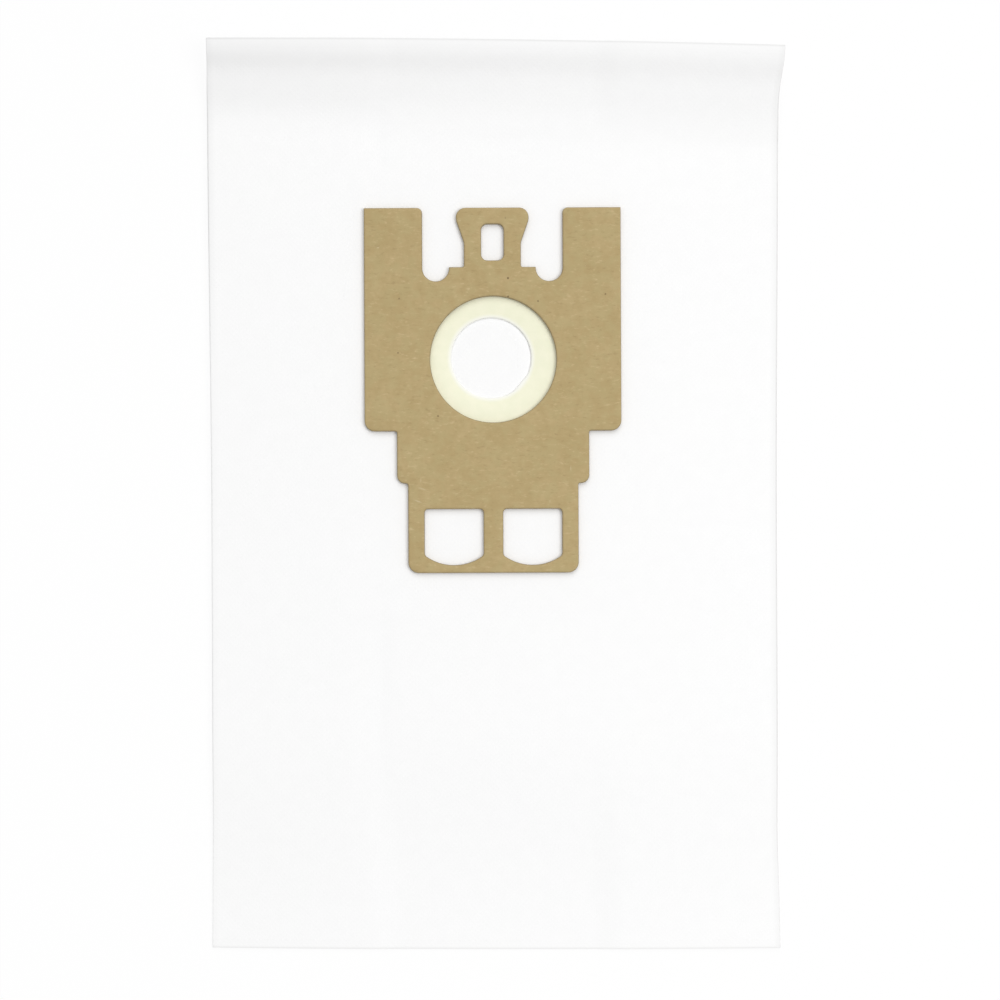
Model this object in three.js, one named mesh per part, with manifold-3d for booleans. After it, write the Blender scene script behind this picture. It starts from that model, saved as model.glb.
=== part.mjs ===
// Vacuum cleaner dust bag, stored flat: a side-gusseted tube of white nonwoven fleece, welded
// across both ends, with a die-cut greyboard collar over a soft rubber seal at its inlet.
// Millimetres, +Z up. The bag lies on its back with its collar up and its curled end towards +Y.

import * as THREE from "three";
import { mergeVertices } from "three/addons/utils/BufferGeometryUtils.js";
import Module from "manifold-3d";

const { lerp, smoothstep } = THREE.MathUtils;

// Driving dimensions: the bag
const bagWidth = 240.6; // over the side folds
const bagLength = 387; // cut length of the tube, along the cloth
const gussetDepth = 72; // from a side fold in to the gusset's crease
const fleece = 0.7; // one layer
const layerGap = 0.4; // air between two layers that lie on each other
const weldWidth = 4;
const weldedLayer = 0.35; // one layer, pressed in a weld
const weldGap = 0.1; // air between the layers where they leave a weld
const taperLength = 36; // over which the layers part beyond a weld
const seamLap = 12; // overlap of the tube's long seam, down the middle of the back
const frontSag = 0.6; // how far the front sinks between the gussets
const sagRun = 18; // over which it sinks, inwards from a gusset's crease
const sagSettle = 40; // over which it rises again towards the stiff collar
const curlLength = 52; // cloth in the curled end
const curlSlopes = { left: 26, right: 18 }; // its steady slope, in degrees
const curlRun = 32; // over which it rises to that slope
const curlDelay = 14; // it begins so much later at the left than at the right
const curlPinch = { left: 10, right: 11 }; // how much steeper it is in a crease near the weld
const pinchFromEnd = 10;
const pinchWidth = 4.5; // half of the crease
const curlLean = 0.15; // how much more the right side is lifted than the middle
const cutSlant = { bottom: 0.6, top: 1.9 }; // the ends are out of square: drop of the right corner
const upperSpread = 1.2; // beside and above the collar the bag is a little wider, on each side
const topSpread = { left: -1.3, right: 2.4 }; // further change of width at the welds
const bottomSpread = { left: 0.1, right: 1.2 };
const spreadRun = 26;

// Driving dimensions: the collar, its places measured from the centre of its round hole
const inletFromBottom = 251;
const collarSideOffset = -0.3; // it is glued on a little off the bag's middle
const collarThickness = 2;
const collarWidth = 109;
const collarHoleRadius = 26.5;
const collarTop = 64.7;
const prongWidth = 24.7;
const prongTipRadius = 2.2; // a prong's inner corner; its outer one is sharp
const notchWidth = 11.4;
const notchDepth = 31.2;
const shelfDepth = 25.2; // the edge between a notch and the pull tab, below the prongs' tips
const bodyLength = 94.8;
const bodyCornerRadius = 4.4;
const neckWidth = 81.6;
const neckLength = 22.2;
const neckCornerRadius = 3.4;
const footWidth = 72.3;
const footLength = 38;
const footCornerRadius = 4.5;
const stepRadius = 0.8; // inner corners of the steps

// Driving dimensions: the pull tab and the openings in the collar
const tabWidth = 30.9;
const tabRootWidth = 24.2;
const tabShoulder = 5.2; // where the tab begins to narrow, below its tip
const tabTaperLength = 9.6;
const tabCornerRadius = 4;
const tabBendRadius = 6; // where the tab begins and ends to narrow
const tabRootRadius = 0.8;
const tabSlotWidth = 8.9;
const tabSlotLength = 15;
const tabSlotDrop = 7.2; // from the tab's tip to the slot
const tabSlotRadius = 2.6;
const windowWidth = 25;
const windowBar = 8.4; // board between the two windows
const windowDrop = 10.9; // from the neck's lower step to the windows
const windowSide = 19.6;
const windowBulge = 4.2; // depth of the windows' curved lower edge
const windowRadius = 1.5; // upper corners
const windowFootRadius = 1.8; // where a side meets the curved edge

// Driving dimensions: the inlet seal
const sealRadius = 32;
const sealBoreRadius = 17;
const sealThickness = 1;
const sealLipThickness = 0.35;
const sealLipRun = 4.5; // width of the thin lip round the bore
const sealShift = { x: -0.7, y: 1 }; // from the collar's hole
const fleeceHoleRadius = 23;
const dishSlope = 2.2; // width of the slope by which the front sinks under the seal

// Fits and facets
const clearance = 0.3; // between two pieces that touch
const arcSag = 0.04; // most that a chord may lie inside its arc

const halfWidth = bagWidth / 2;
const crease = halfWidth - gussetDepth;
const foldRadius = fleece + layerGap / 2;
const foldLine = halfWidth - foldRadius;
const curlStart = bagLength - curlLength;
const frontHeight = 4 * fleece + 3 * layerGap;
const collarBottom = collarTop - bodyLength - neckLength - footLength;
const sealTop = frontHeight;
const dishFloor = sealTop - sealThickness - clearance;
const seal = { x: collarSideOffset + sealShift.x, y: inletFromBottom + sealShift.y };

// The four layers at a distance v along the bag. They are pressed together in the welds
// and part over the taper: layer and gap are one layer and one air gap, stack is all of them.
function layersAt(v) {
  const fromWeld = Math.min(v, bagLength - v) - weldWidth;
  const parted = smoothstep(fromWeld, 0, taperLength);
  const layer = lerp(weldedLayer, fleece, parted);
  const gap = lerp(weldGap, layerGap, parted);
  return { parted, layer, gap, stack: 4 * layer + 3 * gap };
}

// Height of the front's upper face. Between the gussets only two layers lie on each other,
// so the front sinks there, except under the collar, which holds it level.
function frontAt(u, v) {
  const { parted, layer, gap, stack } = layersAt(v);
  const below = smoothstep(inletFromBottom + collarBottom - v, 0, sagSettle);
  const above = smoothstep(v - inletFromBottom - collarTop, 0, sagSettle);
  const between = smoothstep(crease - Math.abs(u), 0, sagRun);
  return stack - between * lerp(2 * (layer + gap), frontSag * Math.max(below, above), parted);
}

// Slope of the curled end, in radians, at a distance s into the curl: a steady slope, and
// a steeper crease near the weld. Across runs from -1 at the left fold to 1 at the right one.
function curlSlope(s, across) {
  const side = (across + 1) / 2;
  const steady = smoothstep(s, curlDelay * (1 - side), curlRun);
  const fromCrease = (s - curlLength + pinchFromEnd) / pinchWidth;
  const pinch = Math.exp(-fromCrease * fromCrease);
  return THREE.MathUtils.degToRad(
    lerp(curlSlopes.left, curlSlopes.right, side) * steady +
      lerp(curlPinch.left, curlPinch.right, side) * pinch,
  );
}

// Where a point of the flat bag lies: u across it, v along the cloth and w up from its back.
// The curl is summed up in short straight steps: what it lifts the cloth by, and the length
// that is lost to the lift, which grows with its square.
function lay([u, w], v) {
  const curlSteps = 40;
  const into = Math.max(v - curlStart, 0);
  const across = u / halfWidth;
  let lift = 0;
  let lost = 0;
  for (let i = 0; i < curlSteps; i++) {
    const slope = curlSlope(((i + 0.5) * into) / curlSteps, across);
    lift += (Math.sin(slope) * into) / curlSteps;
    lost += ((1 - Math.cos(slope)) * into) / curlSteps;
  }
  const side = u < 0 ? "left" : "right";
  const upper = smoothstep(v, inletFromBottom + collarBottom, inletFromBottom + collarTop);
  const nearTop = smoothstep(v - bagLength, -spreadRun, 0);
  const nearBottom = 1 - smoothstep(v, 0, spreadRun);
  const spread =
    upperSpread * upper + topSpread[side] * nearTop + bottomSpread[side] * nearBottom;
  const slant = lerp(cutSlant.bottom, cutSlant.top, v / bagLength);
  const slope = curlSlope(into, across);
  return new THREE.Vector3(
    u + spread * across,
    v - lost * (1 + 2 * curlLean * across) - slant * across - w * Math.sin(slope),
    lift * (1 + curlLean * across) + w * Math.cos(slope),
  );
}

// Distances from the bag's middle at which every layer has a row of points along the bag.
const rows = [
  seamLap / 2,
  crease - sagRun,
  crease - (2 / 3) * sagRun,
  crease - (1 / 3) * sagRun,
  crease + foldRadius,
  (crease + foldLine) / 2,
  foldLine,
];
const gussetRows = rows.filter((u) => u > crease);
const leftToRight = [...rows.map((u) => -u).reverse(), ...rows];

// Stations along the bag: close together at the tapers and in the curl, far apart in the body.
const taperSteps = [0, 0.2, 0.4, 0.65, 1];
const curlStations = 13;
const stations = [
  0,
  ...taperSteps.map((step) => weldWidth + step * taperLength),
  inletFromBottom + collarBottom - sagSettle,
  inletFromBottom + collarBottom - sagSettle / 2,
  inletFromBottom + collarBottom,
  inletFromBottom,
  inletFromBottom + collarTop,
  ...Array.from({ length: curlStations }, (_, i) =>
    lerp(curlStart, bagLength - weldWidth, i / (curlStations - 1)),
  ),
  bagLength,
].sort((a, b) => a - b);
const hollowStations = stations.slice(1, -1);

const mirrored = (ring) => ring.map(([u, w]) => [-u, w]).reverse();

// Points of a round fold seen in section, of radius r about [u, w], opening towards the middle.
function foldArc(u, w, r, angles) {
  return angles.map((a) => [
    u + r * Math.cos(THREE.MathUtils.degToRad(a)),
    w + r * Math.sin(THREE.MathUtils.degToRad(a)),
  ]);
}

// Section of the whole bag: a flat slab whose sides are two round folds, one above the other.
function outerRing(v) {
  const { layer, gap, stack } = layersAt(v);
  const r = layer + gap / 2;
  const side = [
    ...foldArc(foldLine, r, r, [-45, 0, 45, 90]),
    [foldLine - gap / 2, stack / 2],
    ...foldArc(foldLine, stack - r, r, [-90, -45, 0, 45]),
  ];
  return [
    ...leftToRight.map((u) => [u, 0]),
    ...side,
    ...leftToRight.map((u) => [u, frontAt(u, v)]).reverse(),
    ...mirrored(side),
  ];
}

// Section of the slot outside the bag, between the two leaves of a gusset.
function slotRing(v) {
  const { layer, gap } = layersAt(v);
  const low = 2 * layer + gap;
  const high = low + gap;
  const beyond = halfWidth + foldRadius;
  return [
    [crease + layer, low + gap / 2],
    [crease + layer + gap / 2, low],
    ...gussetRows.slice(1).map((u) => [u, low]),
    [beyond, low],
    [beyond, high],
    ...gussetRows.slice(1).map((u) => [u, high]).reverse(),
    [crease + layer + gap / 2, high],
  ];
}

// Section of the space inside the bag: the middle, and above and below each gusset a thin arm.
function hollowRing(v) {
  const { parted, layer, gap, stack } = layersAt(v);
  const r = layer + gap / 2;
  const lap = layer + fleece * parted;
  const edge = fleece / 2; // the lap's edge is a steep slope
  const outerRows = rows.slice(1);
  const armEnd = (w) => foldArc(foldLine, w, gap / 2, [0]);
  const creaseArc = foldArc(crease + r, stack / 2, r, [-135, 180, 135]);
  const rightBack = [[seamLap / 2, lap], [seamLap / 2 + edge, layer]];
  const side = [
    ...rightBack,
    ...outerRows.map((u) => [u, layer]),
    ...armEnd(r),
    ...gussetRows.map((u) => [u, layer + gap]).reverse(),
    ...creaseArc,
    ...gussetRows.map((u) => [u, stack - layer - gap]),
    ...armEnd(stack - r),
  ];
  return [
    ...side,
    ...leftToRight.map((u) => [u, frontAt(u, v) - layer]).reverse(),
    ...mirrored(side),
  ];
}

// A closed skin over one ring of points at each station, with a flat cap at both ends.
function loft(ringAt, places) {
  const sections = places.map(ringAt);
  const count = sections[0].length;
  const points = sections.flatMap((ring, i) => ring.map((point) => lay(point, places[i])));
  const faces = [];
  for (let i = 0; i + 1 < places.length; i++) {
    for (let j = 0; j < count; j++) {
      const a = i * count + j;
      const b = i * count + ((j + 1) % count);
      faces.push(a, b + count, b, a, a + count, b + count);
    }
  }
  const capFaces = (ring) =>
    THREE.ShapeUtils.triangulateShape(ring.map(([u, w]) => new THREE.Vector2(u, w)), []);
  const last = (places.length - 1) * count;
  for (const [a, b, c] of capFaces(sections[0])) {
    faces.push(a, b, c);
  }
  for (const [a, b, c] of capFaces(sections.at(-1))) {
    faces.push(last + a, last + c, last + b);
  }
  return new THREE.BufferGeometry().setFromPoints(points).setIndex(faces);
}

const wasm = await Module();
wasm.setup();

// Solids for joining and cutting, and back again.
function toSolid(geometry) {
  const bare = geometry.clone();
  bare.deleteAttribute("normal");
  bare.deleteAttribute("uv");
  const merged = mergeVertices(bare, 1e-4);
  const vertProperties = new Float32Array(merged.getAttribute("position").array);
  const triVerts = new Uint32Array(merged.getIndex().array);
  return new wasm.Manifold(new wasm.Mesh({ numProp: 3, vertProperties, triVerts }));
}

function toGeometry(solid) {
  const mesh = solid.getMesh();
  const position = new THREE.Float32BufferAttribute(mesh.vertProperties, 3);
  const geometry = new THREE.BufferGeometry().setAttribute("position", position);
  geometry.setIndex(Array.from(mesh.triVerts));
  geometry.computeVertexNormals();
  return geometry;
}

// Segments for an arc of radius r through an angle, so that its chords keep within arcSag.
function arcSegments(r, angle) {
  return Math.max(2, Math.ceil(Math.abs(angle) / (2 * Math.acos(1 - Math.min(arcSag / r, 1)))));
}

// A closed profile of [radius, height] points turned about an upright axis.
function turned(profile, x, y) {
  const points = [...profile, profile[0]].map(([r, z]) => new THREE.Vector2(r, z));
  const widest = Math.max(...profile.map(([r]) => r));
  const geometry = new THREE.LatheGeometry(points, arcSegments(widest, 2 * Math.PI));
  return geometry.rotateX(Math.PI / 2).translate(x, y, 0);
}

// The dust bag
function dustBagGeometry() {
  const above = frontHeight + collarThickness;
  const cut = (profile) => toSolid(turned(profile, seal.x, seal.y));
  const dishRadius = sealRadius + clearance;
  const dish = cut([
    [0, dishFloor],
    [dishRadius, dishFloor],
    [dishRadius + dishSlope, frontHeight],
    [dishRadius + dishSlope, above],
    [0, above],
  ]);
  const clothUnderDish = cut([
    [0, dishFloor - fleece],
    [dishRadius + fleece, dishFloor - fleece],
    [dishRadius + dishSlope + fleece, frontHeight - fleece],
    [dishRadius + dishSlope + fleece, above],
    [0, above],
  ]);
  const inletHole = cut([
    [0, dishFloor - 2 * fleece],
    [fleeceHoleRadius, dishFloor - 2 * fleece],
    [fleeceHoleRadius, above],
    [0, above],
  ]);
  const rightSlot = toSolid(loft(slotRing, hollowStations));
  const leftSlot = toSolid(loft((v) => mirrored(slotRing(v)), hollowStations));
  const hollow = toSolid(loft(hollowRing, hollowStations)).subtract(clothUnderDish);
  return toGeometry(
    toSolid(loft(outerRing, stations))
      .subtract(hollow)
      .subtract(rightSlot)
      .subtract(leftSlot)
      .subtract(dish)
      .subtract(inletHole),
  );
}

// Points along an arc about [x, y], both ends included.
function arcPoints(x, y, r, from, to) {
  const segments = arcSegments(r, to - from);
  return Array.from({ length: segments + 1 }, (_, i) => {
    const a = lerp(from, to, i / segments);
    return new THREE.Vector2(x + r * Math.cos(a), y + r * Math.sin(a));
  });
}

// A closed outline through corners [x, y, radius], each rounded by an arc that touches both
// of its edges. A corner without a radius stays sharp.
function roundedOutline(corners) {
  return corners.flatMap(([x, y, r = 0], i) => {
    const here = new THREE.Vector2(x, y);
    const [beforeX, beforeY] = corners.at(i - 1);
    const [afterX, afterY] = corners[(i + 1) % corners.length];
    const back = new THREE.Vector2(beforeX, beforeY).sub(here).normalize();
    const ahead = new THREE.Vector2(afterX, afterY).sub(here).normalize();
    if (r === 0) {
      return [here];
    }
    const half = Math.acos(THREE.MathUtils.clamp(back.dot(ahead), -1, 1)) / 2;
    const inwards = back.clone().add(ahead).normalize();
    const centre = here.clone().addScaledVector(inwards, r / Math.sin(half));
    const start = here.clone().addScaledVector(back, r / Math.tan(half)).sub(centre).angle();
    const turn = Math.PI - 2 * half;
    const sweep = back.cross(ahead) < 0 ? turn : -turn;
    return arcPoints(centre.x, centre.y, r, start, start + sweep);
  });
}

// The collar plate: two prongs and a pull tab at the top, a wide body round the hole, and
// a narrower neck and foot below. Its right half is written out, and its left half mirrors it.
function collarOutline() {
  const half = collarWidth / 2;
  const notchOuter = half - prongWidth;
  const notchInner = notchOuter - notchWidth;
  const notchFloor = collarTop - notchDepth;
  const shelf = collarTop - shelfDepth;
  const tabTaperEnd = collarTop - tabShoulder - tabTaperLength;
  const bodyBottom = collarTop - bodyLength;
  const neckBottom = bodyBottom - neckLength;
  const rightHalf = [
    [footWidth / 2, collarBottom, footCornerRadius],
    [footWidth / 2, neckBottom, stepRadius],
    [neckWidth / 2, neckBottom, neckCornerRadius],
    [neckWidth / 2, bodyBottom, stepRadius],
    [half, bodyBottom, bodyCornerRadius],
    [half, collarTop],
    [notchOuter, collarTop, prongTipRadius],
    [notchOuter, notchFloor, notchWidth / 2],
    [notchInner, notchFloor, notchWidth / 2],
    [notchInner, shelf],
    [tabRootWidth / 2, shelf, tabRootRadius],
    [tabRootWidth / 2, tabTaperEnd, tabBendRadius],
    [tabWidth / 2, collarTop - tabShoulder, tabBendRadius],
    [tabWidth / 2, collarTop, tabCornerRadius],
  ];
  return roundedOutline([
    ...rightHalf,
    ...rightHalf.map(([x, y, r]) => [-x, y, r]).reverse(),
  ]);
}

function tabSlotOutline() {
  const half = tabSlotWidth / 2;
  const high = collarTop - tabSlotDrop;
  const low = high - tabSlotLength;
  return roundedOutline([
    [half, low, tabSlotRadius],
    [half, high, tabSlotRadius],
    [-half, high, tabSlotRadius],
    [-half, low, tabSlotRadius],
  ]);
}

// A window in the foot, to the right or left of the bar: straight sides, closed below by
// one shallow arc, with all four corners rounded.
function windowOutline(side) {
  const half = windowWidth / 2;
  const middle = (side * (windowBar + windowWidth)) / 2;
  const high = collarTop - bodyLength - neckLength - windowDrop;
  const low = high - windowSide;
  const arcRadius = (half * half + windowBulge * windowBulge) / (2 * windowBulge);
  const reach = Math.asin(half / arcRadius);
  const down = -Math.PI / 2;
  const arcCentre = low - windowBulge + arcRadius;
  const lowerEdge = arcPoints(middle, arcCentre, arcRadius, down - reach, down + reach);
  return roundedOutline([
    [middle + half, high, windowRadius],
    [middle - half, high, windowRadius],
    [middle - half, low, windowFootRadius],
    ...lowerEdge.slice(1, -1).map(({ x, y }) => [x, y]),
    [middle + half, low, windowFootRadius],
  ]);
}

function collarGeometry() {
  const shape = new THREE.Shape(collarOutline());
  const roundHole = arcPoints(0, 0, collarHoleRadius, 0, 2 * Math.PI).slice(0, -1);
  for (const hole of [roundHole, tabSlotOutline(), windowOutline(1), windowOutline(-1)]) {
    shape.holes.push(new THREE.Path(hole));
  }
  return new THREE.ExtrudeGeometry(shape, { depth: collarThickness, bevelEnabled: false });
}

// The inlet seal: a flat rubber disc that thins to a soft lip round its bore.
function sealGeometry() {
  const bottom = -sealThickness;
  return turned(
    [
      [sealBoreRadius, bottom],
      [sealRadius, bottom],
      [sealRadius, 0],
      [sealBoreRadius + sealLipRun, 0],
      [sealBoreRadius, bottom + sealLipThickness],
    ],
    0,
    0,
  );
}

// The assembly
const fleeceWhite = new THREE.MeshStandardMaterial({ color: 0xf4f4f2, roughness: 0.92 });
const greyboard = new THREE.MeshStandardMaterial({ color: 0xb8a277, roughness: 0.9 });
const creamRubber = new THREE.MeshStandardMaterial({ color: 0xf2f1d8, roughness: 0.7 });

const part = new THREE.Group();

const dustBag = new THREE.Mesh(dustBagGeometry(), fleeceWhite);
dustBag.name = "dust_bag";
part.add(dustBag);

const collarPlate = new THREE.Mesh(collarGeometry(), greyboard);
collarPlate.name = "collar_plate";
collarPlate.position.set(collarSideOffset, inletFromBottom, frontHeight + clearance);
part.add(collarPlate);

const inletSeal = new THREE.Mesh(sealGeometry(), creamRubber);
inletSeal.name = "inlet_seal";
inletSeal.position.set(seal.x, seal.y, sealTop);
part.add(inletSeal);

// The origin is the middle of the part's base.
const box = new THREE.Box3().setFromObject(part, true);
const middle = box.getCenter(new THREE.Vector3());
part.position.set(-middle.x, -middle.y, -box.min.z);

export default part;
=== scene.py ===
import math

import bpy
import numpy as np
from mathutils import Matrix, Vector
from mathutils.geometry import delaunay_2d_cdt


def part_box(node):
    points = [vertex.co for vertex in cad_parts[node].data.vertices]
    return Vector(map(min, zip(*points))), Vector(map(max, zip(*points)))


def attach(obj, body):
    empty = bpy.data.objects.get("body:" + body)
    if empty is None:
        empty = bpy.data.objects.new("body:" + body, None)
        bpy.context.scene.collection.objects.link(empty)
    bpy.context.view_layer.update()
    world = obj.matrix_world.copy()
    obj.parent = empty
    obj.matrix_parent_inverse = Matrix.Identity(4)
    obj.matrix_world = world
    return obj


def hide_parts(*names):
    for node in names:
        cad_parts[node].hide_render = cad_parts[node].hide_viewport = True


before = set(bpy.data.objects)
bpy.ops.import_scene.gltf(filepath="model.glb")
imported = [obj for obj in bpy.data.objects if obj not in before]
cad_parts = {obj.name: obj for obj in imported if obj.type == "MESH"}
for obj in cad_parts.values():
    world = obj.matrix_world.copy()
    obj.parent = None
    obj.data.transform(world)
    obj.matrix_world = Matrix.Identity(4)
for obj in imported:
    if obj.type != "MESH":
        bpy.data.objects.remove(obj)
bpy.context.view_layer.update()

# ---- The dust bag
# A tube of white nonwoven fleece, folded in along both sides as gussets and welded shut across both
# ends, with its long seam lapped down the back. It has lain flat in a box, so it keeps shallow
# creases, and its upper end has curled up. Lengths are in millimetres, as on a pattern.
bag_width = 240.6
bag_length = 387.0
half_width = bag_width / 2
crease = half_width - 72.0  # the inner fold of each gusset, from the middle
crease_run = 8.0  # over which the stack thins from four layers to two at that fold
fleece = 0.7  # a layer's thickness
layer_gap = 0.4
weld_width = 4.0
welded_layer = 0.35
weld_gap = 0.03
bottom_taper, top_taper = 90.0, 36.0  # over which the layers part, next to each weld
seam_lap = 12.0
lap_share = 0.3  # of a layer, by which the pressed lap is thicker on the inside
lap_step = 0.35  # by which the lap's edge stands off the back
lap_edge, lap_fade = (4.8, 5.8), (6.0, 9.5)  # where the step is, and where it levels out again

# The front's sag between the gussets, and the creases of lying in a box.
front_sag = 0.45
sag_settle = 40.0  # over which the sag starts past the collar's ends
sag_rise, sag_run = 16.0, 95.0  # to the left and to the right of the left gusset's fold
free_aside = (56.0, 68.0)  # from the middle, over which the stiff collar lets the cloth go
free_beyond = (2.0, 22.0)  # the same past the collar's ends
gusset_mark, gusset_mark_width = 0.12, 2.2  # the gussets' folds, pressed through
packing_mark, packing_mark_width, packing_line = 0.10, 6.0, 42.0  # a fold across, low on the right
corner_drop = 0.8  # of the lower left corner, which lies thinner

# The curl of the upper end. Pairs are left and right, and slopes are in degrees.
curl_length = 52.0
curl_steps = 40  # in which its slope is summed
curl_slopes = (30.0, 18.5)
curl_relief = 3.5  # by which the middle curls less than the sides
curl_run = 30.0
curl_delay = 10.0  # by which the left side starts to curl later
curl_pinch = (14.0, 6.5)  # of the steeper crease near the weld
pinch_from_end = (9.0, 11.5)
pinch_width = 4.5
weld_ease, weld_ease_run = 15.0, 8.0  # by which the stiff weld lies flatter, and over what length
curl_lean = 0.15  # by which the lift grows from the middle to the right fold

# The outline, which box and hands have pulled out of true.
cut_slant = (0.6, 1.9)  # bottom and top
end_bow = (0.7, 0.65)  # by which the middle of each end stands out further than its corners
end_run = 60.0  # over which an end's bow fades out
top_stretch, stretch_lean = 0.85, 0.6  # the pull of the curl on the upper end, more on the left
upper_spread = 1.2
upper_run = (180.0, 370.0)
top_spread = (-0.8, 2.3)  # left and right
top_run = 26.0
bottom_spread = (1.05, 1.6)
bottom_run = (80.0, 60.0)

# The collar and the seal, so far as they shape the cloth under them.
inlet_height = 251.0  # of the collar's hole, from the bottom weld's edge
collar_top = inlet_height + 64.7
collar_bottom = inlet_height - 90.3
collar_side = -0.3
seal_place = (collar_side - 0.7, inlet_height + 1.0)
seal_radius = 32.0
glue_gap = 0.3  # between the pieces, where the glue is
dish_depth = 1.3  # by which the front dips under the seal
dish_slope = 2.2
fleece_hole = 23.0  # the radius of the hole cut in the front
back_slack = 2.2  # by which the slack back stands up into the inlet
slack_run = (16.0, 27.0)  # from the inlet's centre, over which it goes down again
fold_radius = fleece + layer_gap / 2
fold_line = half_width - fold_radius
front_height = 4 * fleece + 3 * layer_gap

# The part's origin is the middle of its outline. The seal's box says how far that is from here.
seal_low, seal_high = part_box("inlet_seal")
origin = np.array([(seal_low.x + seal_high.x) * 500 - seal_place[0],
                   (seal_low.y + seal_high.y) * 500 - seal_place[1], 0.0])


def smooth(x, low, high):
    """Smooth step: 3t^2 - 2t^3 of t, the share of the way from low to high, kept from 0 to 1."""
    t = np.clip((x - low) / (high - low), 0, 1)
    return t * t * (3 - 2 * t)


def between(a, b, share):
    """The value that lies that share of the way from a to b."""
    return a + (b - a) * share


def bell(x, width):
    """A bump 1 high at x = 0 that falls off as e^-(x/width)^2."""
    return np.exp(-((x / width) ** 2))


def layers_at(v):
    """How parted the layers are, one layer, one air gap and the stack of four at v along the bag.
    From a weld inwards they part by a smooth step over the taper."""
    parted = np.minimum(smooth(v - weld_width, 0, bottom_taper),
                        smooth(bag_length - v - weld_width, 0, top_taper))
    layer = between(welded_layer, fleece, parted)
    gap = between(weld_gap, layer_gap, parted)
    return parted, layer, gap, 4 * layer + 3 * gap


def creased(u, v):
    """Height of the creases and soft waves of the front: straight folds are bells across their
    line, and the waves are products of sines. They die out towards the stiff collar."""
    aside = smooth(np.abs(u), *free_aside)
    beyond = smooth(np.maximum(collar_bottom - v, v - collar_top), *free_beyond)
    free = np.maximum(aside, beyond)
    left_fold = bell(u + crease, gusset_mark_width) * smooth(np.abs(v - inlet_height), 60, 90)
    right_fold = bell(u - crease, gusset_mark_width) * smooth(-v, -70, -30)
    gusset_folds = -gusset_mark * (left_fold + right_fold)
    packing_fold = (-packing_mark * bell(v - packing_line, packing_mark_width)
                    * smooth(u, 40, 52) * smooth(-u, -75, -60))
    corner = -corner_drop * smooth(-u, 30, 120) * smooth(-v, -75, -15)
    waves = (0.12 * np.sin(u / 21 + 0.6) * np.sin(v / 47 + 0.9)
             + 0.10 * np.sin(u / 33 - v / 29 + 2.0)
             + 0.03 * np.sin(u / 9.5 + v / 41) * np.sin(v / 13 + 1.1))
    return free * (gusset_folds + packing_fold + corner + waves)


def front_at(u, v):
    """Height of the front's upper face: the stack, less the sag between the gussets, where only two
    layers lie on each other, less the dish under the seal, plus the creases. The sag is deepest at
    the left gusset's fold and runs out to the right."""
    parted, layer, gap, stack = layers_at(v)
    settled = np.maximum(smooth(collar_bottom - v, 0, sag_settle),
                         smooth(v - collar_top, 0, sag_settle))
    middle = smooth(crease - np.abs(u), -6, crease_run)
    past = u + crease
    valley = (smooth(past, -sag_rise, 0) * (1 - 0.4 * smooth(past, 0, crease_run))
              * (1 - smooth(past, 6, sag_run)))
    sag = between(2 * (layer + gap) * middle, front_sag * valley * settled, parted)
    from_seal = np.hypot(u - seal_place[0], v - seal_place[1]) - seal_radius - glue_gap
    dish = dish_depth * (1 - smooth(from_seal, 0, dish_slope))
    return stack - sag - dish + parted * creased(u, v)


def pressed_share(u, v):
    """How far the stack is pressed together by the front that has settled on it: the height of the
    front's upper face over the back, as a share of what it would be unpressed."""
    _, layer, _, stack = layers_at(v)
    return (front_at(u, v) - layer) / (stack - layer)


def curl_slope(s, across):
    """Slope of the curled end at s into it, and across from -1 at the left fold to 1 at the right:
    a smooth step up to a steady slope, plus a bell for the steeper crease near the weld, less a
    smooth step for the weld itself."""
    side = (across + 1) / 2
    relief = curl_relief * (1 - across**2)
    steady = between(*curl_slopes, side) - relief
    steady = steady * smooth(s, curl_delay * (1 - side), curl_run)
    pinch = between(*curl_pinch, side) - relief
    pinch = pinch * bell(s - curl_length + between(*pinch_from_end, side), pinch_width)
    ease = weld_ease * smooth(s, curl_length - weld_ease_run, curl_length)
    return np.radians(steady + pinch - ease)


def lay(u, v, w):
    """Where a point of the flat bag lies: u across, v along the cloth, w up from its back. The
    curl's slope is summed along the cloth into a lift and into the length that the lift takes up.
    Smooth steps along the cloth spread its sides and set its cut ends askew."""
    into = np.maximum(v - (bag_length - curl_length), 0)
    steps = (np.arange(curl_steps) + 0.5) / curl_steps
    across = u / half_width
    slopes = curl_slope(into[..., None] * steps, across[..., None])
    lift = np.sin(slopes).mean(-1) * into
    lost = (1 - np.cos(slopes)).mean(-1) * into
    slope = curl_slope(into, across)
    at_top, at_bottom, bottom_reach = [
        np.where(u > 0, right, left) for left, right in (top_spread, bottom_spread, bottom_run)]
    spread = (upper_spread * smooth(v, *upper_run)
              + at_top * smooth(v - bag_length, -top_run, 0)
              + at_bottom * (1 - smooth(v / bottom_reach, 0, 1)))
    x = u + spread * across
    slant = between(*cut_slant, v / bag_length)
    near_top = smooth(v, bag_length - end_run, bag_length)
    near_bottom = 1 - smooth(v, 0, end_run)
    y = v - lost * (1 + 2 * curl_lean * across) - slant * across - w * np.sin(slope)
    y = (y + (top_stretch - stretch_lean * across - end_bow[1] * across**2) * near_top
         + end_bow[0] * across**2 * near_bottom)
    z = lift * (1 + curl_lean * across) + w * np.cos(slope)
    return np.stack([x, y, z], -1)


def spaced(*stops):
    """A row of numbers from stop to stop, given as place, step, place, step ... place."""
    places, steps = stops[::2], stops[1::2]
    runs = [np.linspace(a, b, max(1, round((b - a) / step)) + 1)[:-1]
            for a, b, step in zip(places, places[1:], steps)]
    return np.concatenate([*runs, [places[-1]]])


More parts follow.
